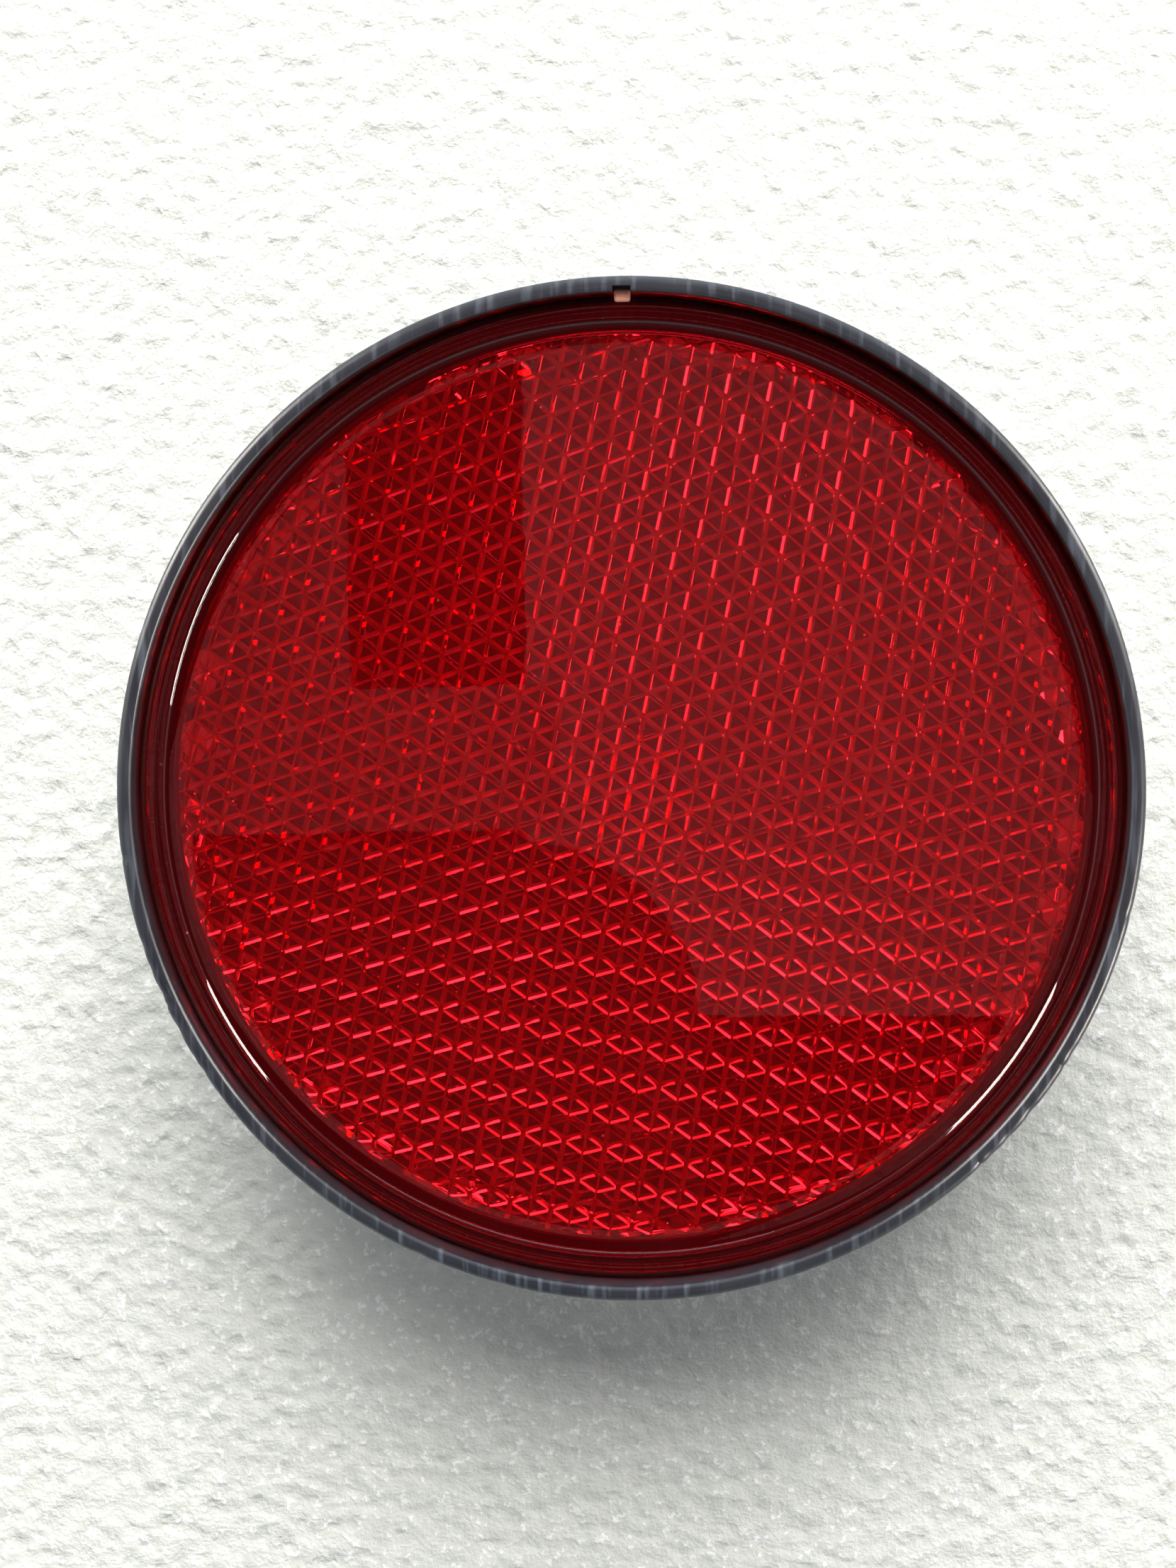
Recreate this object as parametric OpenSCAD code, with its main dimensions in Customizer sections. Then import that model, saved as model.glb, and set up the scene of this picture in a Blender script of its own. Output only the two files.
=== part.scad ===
// Round screw-mounted reflex reflector: a red acrylic lens with a cube-corner
// back, welded into a black cup, with a captive hex-head bolt, flat washer,
// spring lock washer and nut for fixing it through a post, stake or panel.
// Millimetres. +Z points out of the lens. The origin is the centre of the
// back seating face, and the bolt's shank runs along -Z. +Y is the gate side.

/* [Housing] */
// Outside diameter of the black housing
housing_d = 60; // [56:0.5:66]
// Height of the rim above the back seating face
housing_h = 10; // [9.8:0.1:12]
// Width of the rim's top, from its outer to its inner edge
rim_t = 0.9; // [0.8:0.05:1.2]
// How far the rim stands proud of the lens's flat front
rim_proud = 1.8; // [1.6:0.1:2.2]
// Thickness of the housing's floor
floor_t = 1.6; // [1.5:0.1:2]
// Radius of the raised seating hub round the bolt
hub_r = 9.5; // [8:0.5:12]
// Number of ribs between the hub and the outer seating ring
rib_count = 6; // [3:1:8]
// Width of each rib
rib_w = 1.6; // [1:0.1:3]
// Depth of the hollows between the ribs
recess_depth = 0.6; // [0.3:0.1:0.8]

/* [Lens] */
// Radial gap between the lens and the rim
lens_gap = 0.15; // [0.1:0.01:0.2]
// Thickness of the clear plate in front of the prisms
plate_t = 2.6; // [2.2:0.1:2.8]
// Wall thickness of the lens's skirt
skirt_t = 1.55; // [1.3:0.05:1.8]
// Height of the two rounded beads above the flat front
bead_h = 0.32; // [0.2:0.02:0.5]
// Distance across the flats of one hexagonal prism
prism_af = 2.5; // [2.4:0.1:2.6]
// Turn of the prism rows against the gate
prism_turn = -11.4; // [-30:0.1:30]
// Width of the moulding gate's stub
gate_w = 0.95; // [0.6:0.05:1.4]

/* [Bolt] */
// Nominal thread diameter of the bolt
bolt_d = 5; // [4.5:0.1:5.2]
// Length of shank standing out of the back seating face
shank_l = 16; // [13:1:25]
// Distance across the flats of the bolt's head and of the nut
hex_af = 8; // [7.8:0.1:8]
// Thickness of the bolt's flat head
head_t = 1.8; // [1.5:0.1:1.8]

/* [Washers and nut] */
// Gap from the back seating face to the flat washer
stack_gap = 2.5; // [0.3:0.1:4]
// Outside diameter of the flat washer
washer_d = 12; // [10:0.5:15]
// Thickness of the flat washer
washer_t = 1; // [0.8:0.1:1.2]
// Outside diameter of the spring lock washer
lock_d = 9.2; // [8.6:0.1:9.6]
// Thickness of the spring lock washer
lock_t = 1.2; // [1:0.1:1.6]
// Width of the slot in the spring lock washer
lock_slot = 0.7; // [0.4:0.1:1.2]
// Thickness of the nut
nut_t = 4; // [3.2:0.1:4.7]

/* [Hidden] */
$fn = 96;
eps = 0.01;

// Housing: base_inset is the wall's taper, straight_z is where the taper ends.
housing_r = housing_d / 2;
base_round = 0.6;
base_inset = 0.5;
straight_z = housing_h * 0.62;
rim_out_round = 0.42;
rim_in_round = 0.25;
fillet = 0.4;
ring_in_r = housing_r - 5;
rim_in_r = housing_r - rim_t;

// Lens: the shoulder carries the outer bead, and a groove parts it from the inner one.
lens_r = rim_in_r - lens_gap;
skirt_in_r = lens_r - skirt_t;
field_r = skirt_in_r - 0.1;
step_z = 4.2;
front_z = housing_h - rim_proud;
valley_z = front_z - plate_t;
cube_edge = prism_af / sqrt(2);
prism_step = cube_edge / sqrt(3);
tip_z = valley_z - 2 * prism_step;
grid_step = prism_af / sqrt(3);
plate_back_z = valley_z + 0.3;
shoulder_round = 0.56;
bead_sink = 0.15;
groove_r = lens_r - 0.86;
groove_rise = 0.16;
inner_bead_r = lens_r - 1.2;
inner_bead_round = 0.45;
gate_depth = 0.75;
gate_h = 1.1;
gate_sink = 0.5;
gate_fit = 0.05;

// Bolt, washers and nut, with the boss and pocket that hold the bolt's head.
bolt_r = bolt_d / 2;
fit = 0.05;
bolt_hole_r = bolt_r + fit;
nut_hole_r = bolt_r + fit;
lock_hole_r = bolt_r + 2 * fit;
washer_hole_r = bolt_r + 3 * fit;
head_z = 1.2;
pocket_af = hex_af + 2 * fit;
boss_r = pocket_af / sqrt(3) + 1.6;
boss_z = head_z + head_t + 2 * fit;
washer_z = -stack_gap - washer_t;
lock_z = washer_z - fit - lock_t;
nut_z = lock_z - fit - nut_t;
thread_end = 0.5;
chamfer_angle = 30;
chamfer_r = hex_af / 2 - 0.1;
slot_lean = 25;

// Points on an arc of radius r about (cx, cz), from angle a to angle b.
function arc(cx, cz, r, a, b, n = 6) =
    [for (i = [0:n]) let (t = a + (b - a) * i / n) [cx + r * cos(t), cz + r * sin(t)]];

// A hexagonal prism standing on z = 0, measured across its flats.
module hexagon(af, h) {
    cylinder(r = af / sqrt(3), h = h, $fn = 6);
}

// The same hexagon with its upper corners turned down to a cone.
module turned_hexagon(h) {
    intersection() {
        hexagon(hex_af, h);
        cylinder(r1 = chamfer_r + h / tan(chamfer_angle), r2 = chamfer_r, h = h);
    }
}

// The cup's turned shape: floor, tapered wall, step for the skirt and rounded rim.
module housing_shell() {
    rotate_extrude($fn = 128)
        polygon(concat(
            [[bolt_hole_r, 0]],
            arc(housing_r - base_inset - base_round, base_round, base_round, -90, 0),
            [[housing_r, straight_z]],
            arc(housing_r - rim_out_round, housing_h - rim_out_round, rim_out_round, 0, 90),
            arc(rim_in_r + rim_in_round, housing_h - rim_in_round, rim_in_round, 90, 180),
            [[rim_in_r, step_z], [skirt_in_r, step_z], [skirt_in_r, floor_t + fillet],
             [skirt_in_r - fillet, floor_t], [boss_r + fillet, floor_t],
             [boss_r, floor_t + fillet], [boss_r, boss_z], [bolt_hole_r, boss_z]]));
}

// The hollows on the back, between the hub, the ribs and the seating ring.
module back_hollows() {
    difference() {
        translate([0, 0, -1])
            cylinder(r = ring_in_r, h = 1 + recess_depth);
        translate([0, 0, -2])
            cylinder(r = hub_r, h = 4);
        for (i = [0:rib_count - 1])
            rotate([0, 0, 90 + i * 360 / rib_count])
                translate([0, -rib_w / 2, -2])
                    cube([housing_r, rib_w, 4]);
    }
}

module housing() {
    color([0.05, 0.05, 0.055])
        difference() {
            housing_shell();
            translate([0, 0, head_z])
                hexagon(pocket_af, boss_z);
            back_hollows();
            translate([-gate_w / 2 - gate_fit, rim_in_r - 0.5, front_z - gate_sink - 0.2])
                cube([gate_w + 2 * gate_fit, 0.85, housing_h]);
        }
}

// The lens's turned shape: plate, skirt and the double bead at its edge.
module lens_shell() {
    shoulder_r = lens_r - shoulder_round;
    rotate_extrude($fn = 128)
        polygon(concat(
            [[0, plate_back_z], [skirt_in_r, plate_back_z], [skirt_in_r, step_z],
             [lens_r - 0.3, step_z], [lens_r, step_z + 0.3]],
            arc(shoulder_r, front_z - bead_sink, shoulder_round, 0, 56),
            arc(shoulder_r, front_z, bead_h, 62, 158),
            [[groove_r, front_z + groove_rise]],
            arc(inner_bead_r, front_z - bead_sink, inner_bead_round, 62, 142, 8),
            [[0, front_z]]));
}

// The cube corners as one closed body of whole hexagonal prisms. Every grid
// point sits at one of three heights, so that each prism ends in a cube's corner.
module prism_field() {
    n = ceil(field_r / (grid_step * sqrt(3) / 2)) + 2;
    side = 2 * n + 1;
    count = side * side;
    ring = [[1, 0], [0, 1], [-1, 1], [-1, 0], [0, -1], [1, -1]];
    function spot(i, j) = grid_step * [i + j / 2, j * sqrt(3) / 2];
    function inside(i, j) = norm(spot(i, j)) < field_r - grid_step;
    function at(i, j, k) = (i + ring[k % 6][0] + n) * side + j + ring[k % 6][1] + n;
    low = [for (i = [-n:n], j = [-n:n])
        concat(spot(i, j), [tip_z + prism_step * (((i - j) % 3 + 3) % 3)])];
    high = [for (p = low) [p[0], p[1], plate_back_z + 1]];
    cells = [for (i = [-n:n], j = [-n:n]) if ((i - j) % 3 == 0 && inside(i, j)) [i, j]];
    corners = [for (c = cells, k = [0, 2, 4])
        [(c[0] + n) * side + c[1] + n, at(c[0], c[1], k), at(c[0], c[1], k + 1),
         at(c[0], c[1], k + 2)]];
    lids = [for (c = cells) [for (k = [5:-1:0]) at(c[0], c[1], k) + count]];
    walls = [for (c = cells, k = [0:5])
        let (i = c[0] + ring[k][0] + ring[(k + 1) % 6][0],
             j = c[1] + ring[k][1] + ring[(k + 1) % 6][1],
             a = at(c[0], c[1], k), b = at(c[0], c[1], k + 1))
        if (!inside(i, j)) [a, a + count, b + count, b]];
    rotate([0, 0, 30 + prism_turn])
        polyhedron(points = concat(low, high), faces = concat(corners, lids, walls),
                   convexity = 10);
}

module lens() {
    color([0.72, 0.02, 0.04])
        union() {
            lens_shell();
            prism_field();
            translate([-gate_w / 2, lens_r - 0.4, front_z - gate_sink])
                cube([gate_w, gate_depth, gate_h]);
        }
}

module bolt() {
    color([0.72, 0.73, 0.74])
        union() {
            translate([0, 0, head_z])
                turned_hexagon(head_t);
            translate([0, 0, -shank_l + thread_end])
                cylinder(r = bolt_r, h = shank_l - thread_end + head_z + eps);
            translate([0, 0, -shank_l])
                cylinder(r1 = bolt_r - thread_end, r2 = bolt_r, h = thread_end);
        }
}

module flat_washer() {
    color([0.75, 0.76, 0.77])
        translate([0, 0, washer_z])
            difference() {
                cylinder(r = washer_d / 2, h = washer_t);
                translate([0, 0, -1])
                    cylinder(r = washer_hole_r, h = washer_t + 2);
            }
}

// A ring with a slanting slot through one side.
module lock_washer() {
    color([0.6, 0.61, 0.62])
        translate([0, 0, lock_z])
            difference() {
                cylinder(r = lock_d / 2, h = lock_t);
                translate([0, 0, -1])
                    cylinder(r = lock_hole_r, h = lock_t + 2);
                translate([lock_d / 4 + 0.6, 0, lock_t / 2])
                    rotate([slot_lean, 0, 0])
                        cube([lock_d / 2, lock_slot, lock_t * 3], center = true);
            }
}

module nut() {
    color([0.7, 0.71, 0.73])
        translate([0, 0, nut_z])
            difference() {
                intersection() {
                    turned_hexagon(nut_t);
                    translate([0, 0, nut_t])
                        mirror([0, 0, 1])
                            turned_hexagon(nut_t);
                }
                translate([0, 0, -1])
                    cylinder(r = nut_hole_r, h = nut_t + 2);
            }
}

housing();
lens();
bolt();
flat_washer();
lock_washer();
nut();
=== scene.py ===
# %% [markdown]
# # A round bolt-on reflector
# A red acrylic lens sits in a black cup. Its back is a field of cube corners, each of which
# sends light back the way it came. A bolt held in the cup fixes it to a post or a stake.
# This notebook dresses the CAD pieces, so their outer sizes below are read from the CAD boxes.

import math
import random

import bmesh
import bpy
from mathutils import Matrix, Vector


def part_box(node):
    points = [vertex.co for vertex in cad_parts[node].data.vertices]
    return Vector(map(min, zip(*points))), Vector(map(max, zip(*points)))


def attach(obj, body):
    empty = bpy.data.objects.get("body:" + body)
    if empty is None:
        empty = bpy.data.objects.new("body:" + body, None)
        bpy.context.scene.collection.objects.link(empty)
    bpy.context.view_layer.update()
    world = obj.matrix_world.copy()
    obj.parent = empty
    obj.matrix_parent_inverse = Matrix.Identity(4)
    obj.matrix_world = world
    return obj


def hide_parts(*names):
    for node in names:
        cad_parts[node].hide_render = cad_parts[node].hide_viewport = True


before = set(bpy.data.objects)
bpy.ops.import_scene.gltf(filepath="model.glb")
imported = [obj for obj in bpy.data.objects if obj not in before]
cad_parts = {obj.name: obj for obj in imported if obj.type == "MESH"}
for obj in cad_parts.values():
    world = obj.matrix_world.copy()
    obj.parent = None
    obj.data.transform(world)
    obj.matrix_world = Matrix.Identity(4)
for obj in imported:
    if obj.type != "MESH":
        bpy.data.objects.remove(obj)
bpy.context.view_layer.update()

# %% [markdown]
# ## Sizes
# Work is in millimetres, because every real part here is. The boxes give radii and heights.

# %% Read the sizes
MM = 0.001


def box_mm(node):
    """Lowest and highest corner of a CAD node, in mm."""
    return [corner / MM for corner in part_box(node)]


cup_low, cup_high = box_mm("housing")
lens_low, lens_high = box_mm("lens")
CUP_R = cup_high.x
CUP_H = cup_high.z
RIM_T = 0.9
RIM_IN = CUP_R - RIM_T
LENS_R = lens_high.x
SKIRT_IN = LENS_R - 1.55
GATE_UP = 0.6
FRONT = lens_high.z - GATE_UP
TIP = lens_low.z
AF = 2.5
PLATE_BACK = TIP + 2 * AF / math.sqrt(6) + 0.3
STEP = 4.2
TURN = math.radians(30 - 11.4)
print("cup radius", round(CUP_R, 2), "front", round(FRONT, 2), "prism tips", round(TIP, 2))

# %% [markdown]
# ## Colours and nodes
# Colours are written as the hex a paint chart would give, then turned into linear light.
# One small function adds any shader node with its settings and links.


# %% Colour and node helpers
def linear(code):
    """Linear RGBA from an sRGB hex code."""
    parts = [int(code[i:i + 2], 16) / 255 for i in (1, 3, 5)]
    return [p / 12.92 if p <= 0.04045 else ((p + 0.055) / 1.055) ** 2.4 for p in parts] + [1]


def put(tree, kind, links=None, **settings):
    """Adds a node. links maps an input to a value or to another node's output."""
    node = tree.nodes.new("ShaderNode" + kind)
    for key, value in settings.items():
        setattr(node, key, value)
    for key, value in (links or {}).items():
        if isinstance(value, bpy.types.NodeSocket):
            tree.links.new(value, node.inputs[key])
        else:
            node.inputs[key].default_value = value
    return node


def fresh(name):
    """A new material with an empty tree and its place in mm."""
    made = bpy.data.materials.new(name)
    made.use_nodes = True
    tree = made.node_tree
    tree.nodes.clear()
    place = put(tree, "VectorMath", {0: put(tree, "TexCoord").outputs["Object"],
                                     1: (1 / MM,) * 3}, operation="MULTIPLY")
    return made, tree, place.outputs[0]


def noise(tree, place, size_mm, detail=4.0, rough=0.55, stretch=(1, 1, 1)):
    """Noise whose blobs are about size_mm across."""
    spread = put(tree, "VectorMath", {0: place, 1: stretch}, operation="MULTIPLY")
    return put(tree, "TexNoise", {"Vector": spread.outputs[0], "Scale": 1 / size_mm,
                                  "Detail": detail, "Roughness": rough}).outputs["Fac"]


def between(tree, fac, low, high, start=0.0, end=1.0):
    """Maps fac from low..high to start..end, clamped."""
    return put(tree, "MapRange", {"Value": fac, "From Min": low, "From Max": high,
                                  "To Min": start, "To Max": end}).outputs[0]


def mixed(tree, fac, one, two):
    """Mixes two colours."""
    return put(tree, "Mix", {0: fac, 6: one, 7: two}, data_type="RGBA").outputs[2]


def bumped(tree, height, depth_mm, normal=None):
    """A bump of about depth_mm."""
    links = {"Height": height, "Distance": depth_mm * MM, "Strength": 1.0}
    if normal:
        links["Normal"] = normal
    return put(tree, "Bump", links).outputs[0]


def shade(tree, **inputs):
    """Ends the tree in a Principled surface. Keys use _ for a space."""
    links = {key.replace("_", " "): value for key, value in inputs.items()}
    surface = put(tree, "BsdfPrincipled", links)
    put(tree, "OutputMaterial", {"Surface": surface.outputs[0]})
    return surface


# %% [markdown]
# ## Red acrylic
# The lens is injection-moulded PMMA, dyed through. Its front comes from a polished steel
# face, so it is glossy, with faint rubs and specks of dust. Acrylic's index is 1.49.


# %% Moulded acrylic
def acrylic(name, tint, rub, speck):
    made, tree, place = fresh(name)
    rubs = noise(tree, place, 6.0, 6, 0.6, (1, 0.35, 1))
    dust = put(tree, "TexVoronoi", {"Vector": place, "Scale": 1 / 2.2, "Randomness": 1.0})
    dots = between(tree, dust.outputs["Distance"], 0.03, 0.05, speck, 0.0)
    wear = between(tree, rubs, 0.45, 0.75, 0.0, rub)
    rough = put(tree, "Math", {0: wear, 1: dots}, operation="ADD").outputs[0]
    colour = mixed(tree, noise(tree, place, 9.0, 2), linear(tint), linear("#C8141F"))
    fine = noise(tree, place, 4.0, 3, 0.5)
    shade(tree, Base_Color=colour, Roughness=rough, IOR=1.49, Transmission_Weight=0.94,
          Normal=bumped(tree, fine, 0.002))
    return made


polished = acrylic("moulded_acrylic", "#C4121D", 0.03, 0.35)


# %% [markdown]
# The prisms are cast from hexagonal steel pins. The plastic never fills a perfectly sharp
# edge, so each edge is a narrow rounded strip, with a softer skin that scatters some light.

# %% Prism edges
edge_acrylic, tree, place = fresh("moulded_acrylic_edge")
cast = between(tree, noise(tree, place, 0.6), 0.3, 0.7, 0.04, 0.1)
shade(tree, Base_Color=linear("#FF3444"), Roughness=cast, IOR=1.49, Transmission_Weight=0.75,
      Normal=bumped(tree, noise(tree, place, 0.3), 0.002))

# %% [markdown]
# ## Black ABS
# The cup is moulded in black ABS with a fine satin texture. Handling rubs the proud rim
# shinier and greyer, and leaves short hair scratches.

# %% Satin ABS
black_abs, tree, place = fresh("satin_abs")
height = put(tree, "SeparateXYZ", {0: place}).outputs[2]
rim = between(tree, height, CUP_H - 1.0, CUP_H - 0.1)
cloud = noise(tree, place, 5.0, 5)
hair = noise(tree, place, 0.5, 2, 0.5, (1, 0.08, 0.3))
rubbed = put(tree, "Math", {0: rim, 1: between(tree, hair, 0.52, 0.72)}, operation="MULTIPLY")
colour = mixed(tree, cloud, linear("#24272D"), linear("#2E323A"))
colour = mixed(tree, rubbed.outputs[0], colour, linear("#50555E"))
grain = noise(tree, place, 0.12, 2)
shade(tree, Base_Color=colour, Roughness=between(tree, cloud, 0.3, 0.7, 0.3, 0.42), IOR=1.54,
      Normal=bumped(tree, grain, 0.004, bumped(tree, hair, 0.006)))

# %% [markdown]
# ## Zinc-plated steel
# Bolt, washers and nut are cold-formed steel, barrel-plated with bright zinc. The plating
# is cloudy at the scale of a few millimetres, and the parts knock dents in each other.


# %% Zinc plate
def zinc(name, bright, dull, rough):
    made, tree, place = fresh(name)
    cloud = noise(tree, place, 2.5, 5)
    dents = noise(tree, place, 0.7, 3)
    lines = noise(tree, place, 0.25, 2, 0.5, (1, 1, 0.1))
    colour = mixed(tree, cloud, linear(dull), linear(bright))
    shade(tree, Base_Color=colour, Metallic=1.0,
          Roughness=between(tree, cloud, 0.3, 0.7, rough, rough + 0.14),
          Normal=bumped(tree, dents, 0.012, bumped(tree, lines, 0.003)))
    return made


bright_zinc = zinc("bright_zinc_on_steel", "#D3D6DA", "#AEB3BA", 0.2)
dull_zinc = zinc("zinc_on_spring_steel", "#B4B7BA", "#8C9094", 0.32)

# %% [markdown]
# ## Turning and cutting
# Most pieces are round, so their skins are turned from a profile, as on a lathe. A second
# helper cuts one closed shape out of another, as a punch or a mill would.


# %% Mesh helpers
def arc(x, z, r, start, end, count=10):
    """Profile points on an arc, in mm and degrees."""
    turns = [math.radians(start + (end - start) * i / count) for i in range(count + 1)]
    return [(x + r * math.cos(t), z + r * math.sin(t)) for t in turns]


def turn(mesh, profile, count):
    """Turns a profile of (radius, height) points about Z. Returns its first ring."""
    steps = [2 * math.pi * k / count for k in range(count)]
    rings = []
    for r, z in profile:
        spots = [(r * math.cos(t), r * math.sin(t), z) for t in steps] if r else [(0, 0, z)]
        rings.append([mesh.verts.new(spot) for spot in spots])
    for a, b in zip(rings, rings[1:]):
        for k in range(count):
            quad = [a[k % len(a)], a[(k + 1) % len(a)], b[(k + 1) % len(b)], b[k % len(b)]]
            mesh.faces.new(list(dict.fromkeys(quad)))
    return rings[0]


def close_ring(mesh, ring_a, ring_b):
    """Joins two rings of the same count."""
    for k in range(len(ring_a)):
        n = (k + 1) % len(ring_a)
        mesh.faces.new([ring_a[k], ring_a[n], ring_b[n], ring_b[k]])


def solid(mesh, name, *finishes, sharp=30, smooth=True):
    """Turns a mesh in mm into an object in metres, with its creases and finishes.

    With smooth off, each face keeps the shading that it already has.
    """
    bmesh.ops.remove_doubles(mesh, verts=mesh.verts, dist=1e-5)
    bmesh.ops.recalc_face_normals(mesh, faces=mesh.faces)
    bmesh.ops.scale(mesh, vec=(MM,) * 3, verts=mesh.verts)
    data = bpy.data.meshes.new(name)
    mesh.to_mesh(data)
    open_edges = sum(e.is_boundary for e in mesh.edges)
    smoothed = [smooth or face.smooth for face in mesh.faces]
    mesh.free()
    data.set_sharp_from_angle(angle=math.radians(sharp))
    data.polygons.foreach_set("use_smooth", smoothed)
    piece = bpy.data.objects.new(name, data)
    bpy.context.collection.objects.link(piece)
    for finish in finishes:
        data.materials.append(finish)
    print(name, "faces", len(data.polygons), "open edges", open_edges)
    return piece


def baked(piece):
    """The mesh of a piece as its modifiers leave it."""
    ready = piece.evaluated_get(bpy.context.evaluated_depsgraph_get())
    return bpy.data.meshes.new_from_object(ready)


def carve(piece, cutter, how="DIFFERENCE", sharp=30):
    """Cuts (or trims) a piece with another closed one, which is used up."""
    cut = piece.modifiers.new("cut", "BOOLEAN")
    cut.object = cutter
    cut.operation = how
    cut.solver = "EXACT"
    data = baked(piece)
    piece.modifiers.clear()
    piece.data = data
    data.polygons.foreach_set("use_smooth", [True] * len(data.polygons))
    data.set_sharp_from_angle(angle=math.radians(sharp))
    bpy.data.objects.remove(cutter)
    return piece


def block(size, centre, name="cutter"):
    """A box in mm, to cut with."""
    mesh = bmesh.new()
    bmesh.ops.create_cube(mesh, size=1, matrix=Matrix.Translation(centre)
                          @ Matrix.Diagonal((*size, 1)))
    return solid(mesh, name)


def soften(piece, width_mm, segments=3, angle=35):
    """Rounds the hard edges, as a mould or a tumbling barrel leaves them."""
    edge = piece.modifiers.new("soften", "BEVEL")
    edge.width = width_mm * MM
    edge.segments = segments
    edge.limit_method = "ANGLE"
    edge.angle_limit = math.radians(angle)
    edge.harden_normals = True
    return piece


def fit_out(piece, body, slot, *nodes):
    """Says what the piece rides on and which CAD nodes it shows. Its slot is not used."""
    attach(piece, body)
    if nodes:
        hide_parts(*nodes)
    return piece


# %% [markdown]
# ## The lens
# One moulding: a flat plate, two rounded beads at its edge, a skirt that is welded into the
# cup, and the cube corners. A grid point sits at one of three heights, by its row and
# column, and every small diamond between four points is then one face of a cube.


# %% Cube corners
RIDGE = 0.22
GROOVE = 0.09
FIELD_R = SKIRT_IN - 0.4
CLIP = 96


def corners(radius):
    """A sheet of sharp cube corners in mm. Its edges carry how wide each is rounded."""
    mesh = bmesh.new()
    step = AF / math.sqrt(3)
    rise = AF / math.sqrt(6)
    reach = math.ceil(radius / (step * 0.866)) + 3
    ring = [(1, 0), (0, 1), (-1, 1), (-1, 0), (0, -1), (1, -1)]
    made = {}

    def point(i, j):
        if (i, j) not in made:
            x = step * (i + j / 2)
            y = step * j * math.sqrt(3) / 2
            spin = Matrix.Rotation(TURN, 4, "Z")
            made[i, j] = mesh.verts.new(spin @ Vector((x, y, TIP + rise * ((i - j) % 3))))
        return made[i, j]

    for i in range(-reach, reach + 1):
        for j in range(-reach, reach + 1):
            away = step * math.hypot(i + j / 2, j * math.sqrt(3) / 2)
            if (i - j) % 3 or away > radius + 2 * step:
                continue
            for k in (0, 2, 4):
                spots = [(i, j)] + [(i + ring[n % 6][0], j + ring[n % 6][1])
                                    for n in (k, k + 1, k + 2)]
                mesh.faces.new([point(*spot) for spot in spots])
    weight = mesh.edges.layers.float.new("bevel_weight_edge")
    for edge in mesh.edges:
        lowest = min(vert.co.z for vert in edge.verts)
        edge[weight] = 1.0 if lowest < TIP + 0.1 else GROOVE / RIDGE
    return mesh


# %% [markdown]
# Each edge is rounded off into a strip of two flats, wide on the ridges that rise from the
# tips and narrow in the grooves. The sheet is then trimmed to a circle, and a wall joins it
# to the plate.


# %% Rounding and trimming the sheet
def clip(mesh, radius):
    """Trims a sheet to a circle."""
    for k in range(CLIP):
        t = 2 * math.pi * (k + 0.5) / CLIP
        out = Vector((math.cos(t), math.sin(t), 0))
        near = [f for f in mesh.faces if f.calc_center_median() @ out > radius - 3]
        geom = {item for f in near for item in [f, *f.edges, *f.verts]}
        bmesh.ops.bisect_plane(mesh, geom=list(geom), dist=1e-5, plane_co=out * radius,
                               plane_no=out, clear_outer=True)


sheet = solid(corners(FIELD_R), "sheet", polished, edge_acrylic)
round_off = sheet.modifiers.new("round_off", "BEVEL")
round_off.limit_method = "WEIGHT"
round_off.width = RIDGE * MM
round_off.segments = 2
round_off.material = 1
mesh = bmesh.new()
mesh.from_mesh(baked(sheet))
bmesh.ops.scale(mesh, vec=(1 / MM,) * 3, verts=mesh.verts)
bpy.data.objects.remove(sheet)
clip(mesh, FIELD_R)
rim_edges = [e for e in mesh.edges if e.is_boundary]
walls = bmesh.ops.extrude_edge_only(mesh, edges=rim_edges)["geom"]
for item in walls:
    if isinstance(item, bmesh.types.BMVert):
        item.co.z = PLATE_BACK
print("cube corner faces", len(mesh.faces))

# %% [markdown]
# The front is drawn as a profile: skirt, outer bead, a fine groove, inner bead, flat face.

# %% Plate, beads and skirt
BEAD_UP = 0.3
OUTER_BEAD = 0.58
INNER_BEAD = 0.45
INNER_AT = LENS_R - 1.22
CHAMFER = 0.3
profile = [(SKIRT_IN, PLATE_BACK), (SKIRT_IN, STEP), (LENS_R - CHAMFER, STEP),
           (LENS_R, STEP + CHAMFER)]
profile += arc(LENS_R - OUTER_BEAD, FRONT + BEAD_UP - OUTER_BEAD, OUTER_BEAD, 0, 118, 22)
profile += arc(INNER_AT, FRONT + BEAD_UP - INNER_BEAD, INNER_BEAD, 55, 142, 16)
profile += [(SKIRT_IN - 1.5, FRONT), (0, FRONT)]
for face in mesh.faces:
    face.smooth = False
prism_faces = set(mesh.faces)
turn(mesh, profile, 256)
for face in set(mesh.faces) - prism_faces:
    face.smooth = True
loops = [e for e in mesh.edges if e.is_boundary]
bmesh.ops.triangle_fill(mesh, use_beauty=True, use_dissolve=False, edges=loops,
                        normal=(0, 0, -1))
lens = solid(mesh, "lens", polished, edge_acrylic, sharp=50, smooth=False)
fit_out(lens, "reflector", "lens", "lens")

# %% [markdown]
# The mould fills through a small gate at the top. Snapping the runner off leaves a pale
# stub, which stands in a notch in the rim.

# %% Gate stub
gate, tree, place = fresh("broken_acrylic_gate")
shade(tree, Base_Color=mixed(tree, noise(tree, place, 0.4), linear("#E8907A"),
                             linear("#F2B59C")), Roughness=0.5, IOR=1.49,
      Subsurface_Weight=0.4, Subsurface_Scale=0.0004,
      Normal=bumped(tree, noise(tree, place, 0.12), 0.03))
stub = block((0.93, 0.74, 1.08), (0, LENS_R - 0.02, FRONT + 0.05), "lens_gate")
stub.data.materials.append(gate)
soften(stub, 0.16, 4)
fit_out(stub, "reflector", "lens")

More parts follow.
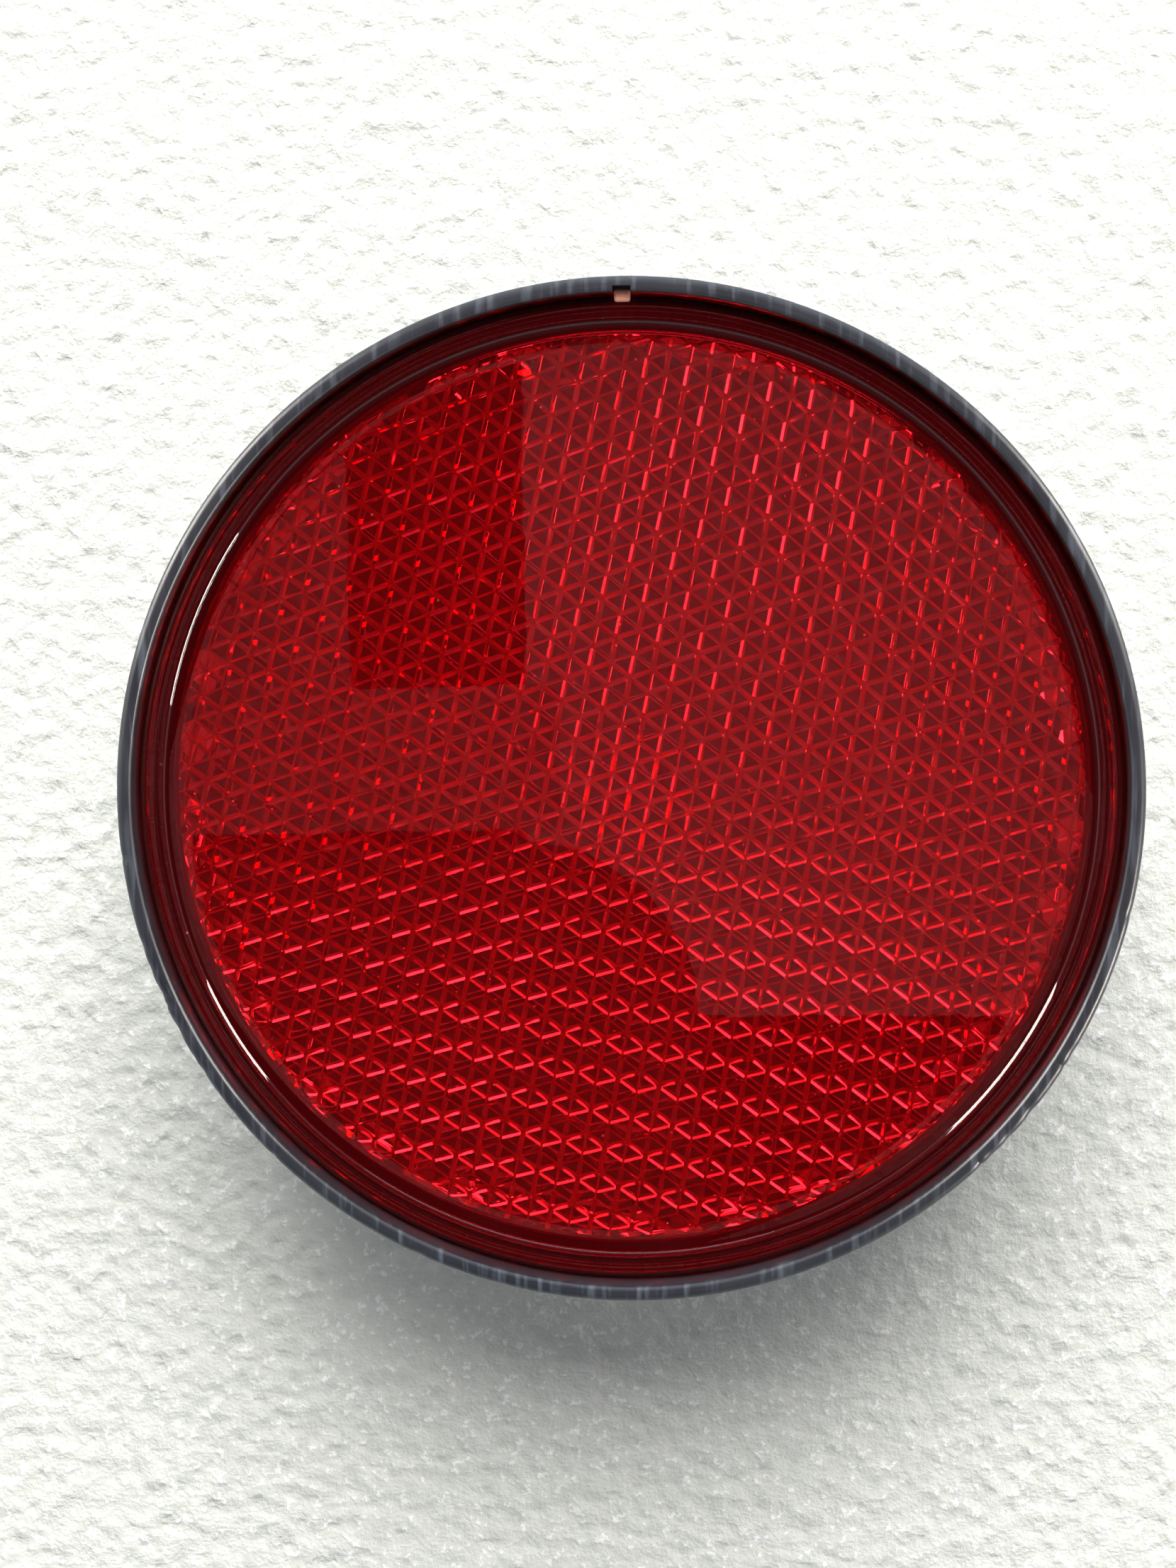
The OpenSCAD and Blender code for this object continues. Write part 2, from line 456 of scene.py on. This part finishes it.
# %% [markdown]
# ## The cup
# The rim is rounded more on the outside than on the inside. On the real object it has been
# knocked, so a few small nicks are pressed into its outer edge before anything is cut.

# %% Cup
FLOOR = 1.6
HEAD_Z = 1.2
HEX_AF = 8
BOSS_R = HEX_AF * 0.78
BOSS_Z = HEAD_Z + 1.9
HOLE_R = 2.55
BASE_ROUND = 0.6
BASE_AT = CUP_R - 1.1
RIM_OUT = 0.42
RIM_INNER = 0.25
FILLET = 0.4
profile = [(HOLE_R, 0), (BASE_AT, 0)]
profile += arc(BASE_AT, BASE_ROUND, BASE_ROUND, -90, 0, 6)[1:]
profile += [(CUP_R, CUP_H * 0.62), (CUP_R, CUP_H * 0.8)]
profile += arc(CUP_R - RIM_OUT, CUP_H - RIM_OUT, RIM_OUT, 0, 90, 10)
profile += arc(RIM_IN + RIM_INNER, CUP_H - RIM_INNER, RIM_INNER, 90, 180, 7)
profile += [(RIM_IN, STEP), (SKIRT_IN, STEP), (SKIRT_IN, FLOOR + FILLET),
            (SKIRT_IN - FILLET, FLOOR), (BOSS_R + FILLET, FLOOR), (BOSS_R, FLOOR + FILLET),
            (BOSS_R, BOSS_Z), (HOLE_R, BOSS_Z)]
mesh = bmesh.new()
first = turn(mesh, profile, 720)
last = [v for v in mesh.verts if abs(v.co.z - BOSS_Z) < 1e-6 and v.co.xy.length < HOLE_R + 0.01]
close_ring(mesh, last, first)

random.seed(11)
NICKS = 26
DEEPEST = 0.15
nicks = [(random.choice((-1, 1)), random.uniform(0.02, 0.1), random.uniform(0.12, 0.5))
         for _ in range(NICKS)]
nicks = [(math.radians(random.gauss(-152 if side < 0 else -38, 14)), deep, wide)
         for side, deep, wide in nicks]
for vert in mesh.verts:
    if vert.co.z < CUP_H - 0.5 or vert.co.xy.length < CUP_R - 0.5:
        continue
    turned = math.atan2(vert.co.y, vert.co.x)
    deep = sum(d * math.exp(-((turned - t) * CUP_R / w) ** 2) for t, d, w in nicks)
    vert.co.z -= min(deep, DEEPEST)
    vert.co.xy *= 1 - min(deep, DEEPEST) * 0.6 / CUP_R
cup = solid(mesh, "housing", black_abs)

# %% [markdown]
# The back is cored out between ribs, so the walls stay even and don't sink as they cool.
# Round ejector pins leave shallow marks in those hollows.

# %% Hollows, pocket, notch and pin marks
HUB_R = 9.5
RING_R = CUP_R - 5
HOLLOW = 0.6
SLOPE = 0.25
SIDE = 0.35
RIB_W = 1.6
POCKET_R = 8.1 / math.sqrt(3)
PIN_R = 2
PIN_AT = 17
PIN_TOP = 0.68
mesh = bmesh.new()
low_ring = turn(mesh, [(HUB_R, -1), (RING_R, -1), (RING_R, SIDE), (RING_R - SLOPE, HOLLOW),
                       (HUB_R + SLOPE, HOLLOW), (HUB_R, SIDE)], 192)
top_ring = [v for v in mesh.verts if abs(v.co.z - SIDE) < 1e-6 and v.co.xy.length < HUB_R + 0.01]
close_ring(mesh, top_ring, low_ring)
hollows = solid(mesh, "hollows")
for k in range(3):
    rib = block((2 * CUP_R, RIB_W, 4), (0, 0, 0))
    rib.data.transform(Matrix.Rotation(math.radians(90 + 60 * k), 4, "Z"))
    carve(hollows, rib)
carve(cup, hollows)
mesh = bmesh.new()
turn(mesh, [(0, HEAD_Z), (POCKET_R, HEAD_Z), (POCKET_R, 5), (0, 5)], 6)
carve(cup, solid(mesh, "pocket"))
carve(cup, block((1.05, 0.85, 3), (0, RIM_IN - 0.075, CUP_H)))
for k in range(3):
    t = math.radians(60 + 120 * k)
    mesh = bmesh.new()
    turn(mesh, [(0, 0), (PIN_R, 0), (PIN_R, PIN_TOP), (0, PIN_TOP)], 48)
    bmesh.ops.translate(mesh, vec=(PIN_AT * math.cos(t), PIN_AT * math.sin(t), 0),
                        verts=mesh.verts)
    carve(cup, solid(mesh, "pin_mark"))
fit_out(cup, "reflector", "housing", "housing")

# %% [markdown]
# ## Bolt and nut
# The thread is rolled: M5, 0.8 mm a turn, right-handed. Bolt and nut share one thread
# shape at one phase, so the coupled joint turns the nut along the bolt without touching.

# %% Thread
PITCH = 0.8
CREST = 2.5
ROOT = 2.03
SHAPE = [(0, CREST), (0.125, CREST), (0.4375, ROOT), (0.6875, ROOT)]
AROUND = 60
CHAMFER_R = 3.85


def rod(low, high, grow, limit):
    """A closed threaded rod in mm. grow widens it and limit shapes its two ends."""
    mesh = bmesh.new()
    first = math.floor(low / PITCH) - 2
    turns = math.ceil((high - low) / PITCH) + 4
    grid = []
    for n in range(first, first + turns):
        for phase, r in SHAPE:
            row = []
            for k in range(AROUND):
                t = 2 * math.pi * k / AROUND
                z = PITCH * (n + phase + k / AROUND)
                wide = limit(r + grow, z)
                row.append(mesh.verts.new((wide * math.cos(t), wide * math.sin(t), z)))
            grid.append(row)
    for a, b, a_next, b_next in zip(grid, grid[1:], grid[4:], grid[5:]):
        for k in range(AROUND - 1):
            mesh.faces.new([a[k], a[k + 1], b[k + 1], b[k]])
        mesh.faces.new([a[-1], a_next[0], b_next[0], b[-1]])
    for z, side in ((low, -1), (high, 1)):
        bmesh.ops.bisect_plane(mesh, geom=[*mesh.verts, *mesh.edges, *mesh.faces], dist=1e-6,
                               plane_co=(0, 0, z), plane_no=(0, 0, side), clear_outer=True)
        loose = [v for v in mesh.verts if not v.link_faces]
        bmesh.ops.delete(mesh, geom=loose, context="VERTS")
        ends = [e for e in mesh.edges if e.is_boundary
                and all(abs(v.co.z - z) < 1e-4 for v in e.verts)]
        bmesh.ops.triangle_fill(mesh, edges=ends, use_beauty=True, normal=(0, 0, side))
    return mesh


def hexagon(name, low, high, finish):
    """A hexagon with turned chamfers on its corners, in mm, 8 mm across its flats."""
    corner = HEX_AF / math.sqrt(3)
    mesh = bmesh.new()
    turn(mesh, [(0, low), (corner, low), (corner, high), (0, high)], 6)
    piece = solid(mesh, name, finish)
    mesh = bmesh.new()
    beyond = corner + 0.3
    drop = (beyond - CHAMFER_R) * math.tan(math.radians(30))
    turn(mesh, [(0, low), (CHAMFER_R, low), (beyond, low + drop), (beyond, high - drop),
                (CHAMFER_R, high), (0, high)], 96)
    return carve(piece, solid(mesh, "chamfer"), "INTERSECT")


# %% [markdown]
# The bolt is such a rod with a tapered tip, under a thin hexagon head that fills its pocket.

# %% Bolt
bolt_low, bolt_high = (corner.z for corner in box_mm("bolt"))
END_R = CREST - 0.5
shank = solid(rod(bolt_low, HEAD_Z + 0.1, 0, lambda r, z: min(r, END_R + max(0, z - bolt_low))),
              "bolt", bright_zinc)
fit_out(shank, "reflector", "bolt", "bolt")
head = hexagon("bolt_head", HEAD_Z, bolt_high, bright_zinc)
fit_out(soften(head, 0.08), "reflector", "bolt")

# %% [markdown]
# The nut is tapped and countersunk at both ends. Its hexagon keeps the curved chamfer lines
# that turning leaves on its corners.

# %% Nut
nut_low, nut_high = (corner.z for corner in box_mm("nut"))
nut = hexagon("nut", nut_low, nut_high, bright_zinc)
tap = solid(rod(nut_low - 0.2, nut_high + 0.2, 0.05,
                lambda r, z: max(r, 2.75 - min(z - nut_low, nut_high - z))), "tap")
carve(nut, tap)
fit_out(soften(nut, 0.07, 2, 50), "nut", "nut", "nut")

# %% [markdown]
# ## Washers
# The flat washer is punched, so one edge is rolled over and the other is nearly sharp. The
# lock washer is coiled from square wire and cut off at a slant, which leaves a split.

# %% Flat washer
flat_low, flat_high = (corner.z for corner in box_mm("flat_washer"))
flat_r = box_mm("flat_washer")[1].x
IN_R = 2.65
profile = [(IN_R + 0.05, flat_low), (flat_r - 0.06, flat_low), (flat_r, flat_low + 0.06)]
profile += arc(flat_r - 0.22, flat_high - 0.22, 0.22, 0, 90, 5)
profile += arc(IN_R + 0.15, flat_high - 0.15, 0.15, 90, 180, 4)
profile += [(IN_R, flat_low + 0.05)]
mesh = bmesh.new()
first = turn(mesh, profile, 160)
last = [v for v in mesh.verts if abs(v.co.z - flat_low - 0.05) < 1e-6]
close_ring(mesh, [v for v in last if v.co.xy.length < IN_R + 0.01], first)
washer = solid(mesh, "flat_washer", bright_zinc)
fit_out(washer, "washers", "flat_washer", "flat_washer")

# %% Spring lock washer
lock_low, lock_high = (corner.z for corner in box_mm("lock_washer"))
lock_r = box_mm("lock_washer")[1].y
middle = (lock_low + lock_high) / 2
WIRE_IN = 2.6
ROUND = 0.15
SLANT = math.radians(25)
HALF_SPLIT = 0.35
ROWS = 120
wire = []
for x, z, start in ((lock_r, lock_high, 0), (WIRE_IN, lock_high, 90),
                    (WIRE_IN, lock_low, 180), (lock_r, lock_low, 270)):
    in_x = -ROUND if x == lock_r else ROUND
    in_z = -ROUND if z > middle else ROUND
    wire += arc(x + in_x, z + in_z, ROUND, start, start + 90, 4)
mesh = bmesh.new()
rows = []
for k in range(ROWS + 1):
    row = []
    for r, z in wire:
        lean = -(z - middle) * math.tan(SLANT) / r
        half = HALF_SPLIT / math.cos(SLANT) / r
        t = lean + half + (2 * math.pi - 2 * half) * k / ROWS
        row.append(mesh.verts.new((r * math.cos(t), r * math.sin(t), z)))
    rows.append(row)
for a, b in zip(rows, rows[1:]):
    close_ring(mesh, a, b)
mesh.faces.new(rows[0])
mesh.faces.new(rows[-1])
lock = solid(mesh, "lock_washer", dull_zinc)
fit_out(soften(lock, 0.03, 2, 60), "washers", "lock_washer", "lock_washer")

# %% [markdown]
# ## Floor
# A pale foam sheet. It lies just under the end of the bolt's longest reach.

# %% Floor
FLOOR_Z = -20.6
foam, tree, place = fresh("pale_foam")
cells = put(tree, "TexVoronoi", {"Vector": place, "Scale": 1 / 1.4}, feature="SMOOTH_F1")
soft = noise(tree, place, 1.1, 5)
# The small white specks are painted glints: sparkles of light on the bubble walls, put into the
# foam's colour.
painted_glint = between(tree, noise(tree, place, 0.55, 3), 0.6, 0.66)
colour = mixed(tree, soft, linear("#D3D6CE"), linear("#EDF0EB"))
shade(tree, Base_Color=mixed(tree, painted_glint, colour, linear("#FFFFFF")), Roughness=0.6,
      Normal=bumped(tree, cells.outputs["Distance"], 0.35, bumped(tree, soft, 0.5)))
mesh = bmesh.new()
bmesh.ops.create_grid(mesh, x_segments=4, y_segments=4, size=2000)
bmesh.ops.translate(mesh, vec=(0, 0, FLOOR_Z), verts=mesh.verts)
floor = solid(mesh, "floor", foam)

# %% [markdown]
# ## Camera
# It hangs 200 mm over the lens and leans 6 degrees, which is how one looks down at such a
# small part on a bench.

# %% Camera
TILT = math.radians(6)
WAY = math.radians(27)
ROLL = math.radians(0.8)
AWAY = 0.2
aim = Vector((-2.37, 0.6, FRONT + 0.4)) * MM
lean = Vector((math.sin(TILT) * math.sin(WAY), math.sin(TILT) * math.cos(WAY), math.cos(TILT)))
eye = aim + lean * AWAY
camera = bpy.data.objects.new("camera", bpy.data.cameras.new("camera"))
camera.data.lens = 78.4
camera.data.sensor_width = 36
camera.data.clip_start = 0.005
right = (-lean).cross(Vector((math.sin(ROLL), math.cos(ROLL), 0))).normalized()
up = right.cross(-lean)
camera.matrix_world = Matrix.Translation(eye) @ Matrix((right, up, lean)).transposed().to_4x4()
bpy.context.collection.objects.link(camera)
bpy.context.scene.camera = camera
print("camera, mm:", [round(c / MM, 1) for c in eye])

# %% [markdown]
# ## Light
# Two upright windows at the upper left and right draw the bright lines on the beads, on the
# far side of the lens from each. A low strip at the lower right lights the prism edges that
# lie square to it, and a broad cool one stands at the top. The gloss sees only these four.
# The foam and the cup take their soft light from a large fill, which leans in from the top,
# so that the shadow falls below the part.


# %% Windows
def window(name, clock, away, wide, tall, lift, radiance, tint, upright=True):
    """A soft light. clock is its direction in degrees, clockwise from the gate."""
    lamp = bpy.data.lights.new(name, "AREA")
    lamp.shape = "RECTANGLE"
    lamp.size = wide
    lamp.size_y = tall
    lamp.energy = radiance * math.pi * wide * tall
    lamp.color = linear(tint)[:3]
    light = bpy.data.objects.new(name, lamp)
    t = math.radians(clock)
    light.location = (away * math.sin(t), away * math.cos(t), lift)
    facing = -Vector(light.location)
    if upright:
        facing.z = 0
    light.rotation_euler = facing.to_track_quat("-Z", "Y").to_euler()
    light.visible_diffuse = not upright
    light.visible_glossy = upright
    bpy.context.collection.objects.link(light)


window("window_left", 299.6, 0.6, 0.24, 0.55, 0.3, 24, "#FFF8F0")
window("window_right", 63.5, 0.6, 0.16, 0.55, 0.3, 24, "#FFF8F0")
window("window_low", 119.6, 0.6, 0.24, 0.14, 0.32, 60, "#FFF0E6")
window("window_top", 8, 0.8, 0.9, 0.3, 0.2, 2.6, "#DCE6FF")
window("fill", 5, 0.5, 0.5, 0.5, 0.7, 16, "#FFFDFA", upright=False)

# %% [markdown]
# A reflector always sees what hangs over it: the camera's own body, the hand beside it and
# a dark sleeve. Plain cards stand for them. The front's gloss shows them as a faint veil.


# %% Cards over the lens
def card(name, finish, low, high, up=7.0, corner=1.0):
    """A flat card level with the camera, in mm from the lens's axis, with round corners."""
    mesh = bmesh.new()
    outline = []
    for x, y, start in ((high[0] - corner, high[1] - corner, 0),
                        (low[0] + corner, high[1] - corner, 90),
                        (low[0] + corner, low[1] + corner, 180),
                        (high[0] - corner, low[1] + corner, 270)):
        outline += arc(x, y, corner, start, start + 90, 12)
    mesh.faces.new([mesh.verts.new((x, y, eye.z / MM + up)) for x, y in outline])
    made = solid(mesh, name, finish)
    made.visible_camera = False
    made.visible_diffuse = False
    made.visible_shadow = False


def plain(name, code):
    """A matt card colour."""
    made, tree, place = fresh(name)
    shade(tree, Base_Color=linear(code), Roughness=0.6)
    return made


rose = plain("rose_card", "#C9868F")
skin = plain("skin_card", "#A06A70")
dark = plain("dark_card", "#0A090B")
lens_x = eye.x / MM
lens_y = eye.y / MM
card("camera_lens", dark, (lens_x - 3.2, lens_y - 3.2), (lens_x + 3.2, lens_y + 3.2), 6, 3)
card("camera_body", rose, (lens_x - 22.6, lens_y - 57), (lens_x + 123.4, lens_y + 14), 9)
card("hand", skin, (lens_x - 150, -22.8), (lens_x - 36.4, 110), 8)
card("thumb", skin, (lens_x - 40, -22.8), (lens_x - 20, -11.4), 8)
card("sleeve", dark, (lens_x - 150, -150), (-1.9, -23.4), 5, 14)

# %% [markdown]
# The room is pale near the horizon and dark overhead, so the rims catch light and the
# glossy front stays deep red.

# %% Room
room = bpy.data.worlds.new("room")
room.use_nodes = True
tree = room.node_tree
tree.nodes.clear()
up_way = put(tree, "SeparateXYZ", {0: put(tree, "TexCoord").outputs["Generated"]}).outputs[2]
colour = mixed(tree, between(tree, up_way, 0.0, 0.75), linear("#CDD2D8"), linear("#131417"))
sky = put(tree, "Background", {"Color": colour, "Strength": 1.5})
put(tree, "OutputWorld", {"Surface": sky.outputs[0]})
bpy.context.scene.world = room
bpy.context.scene.view_settings.view_transform = "Standard"
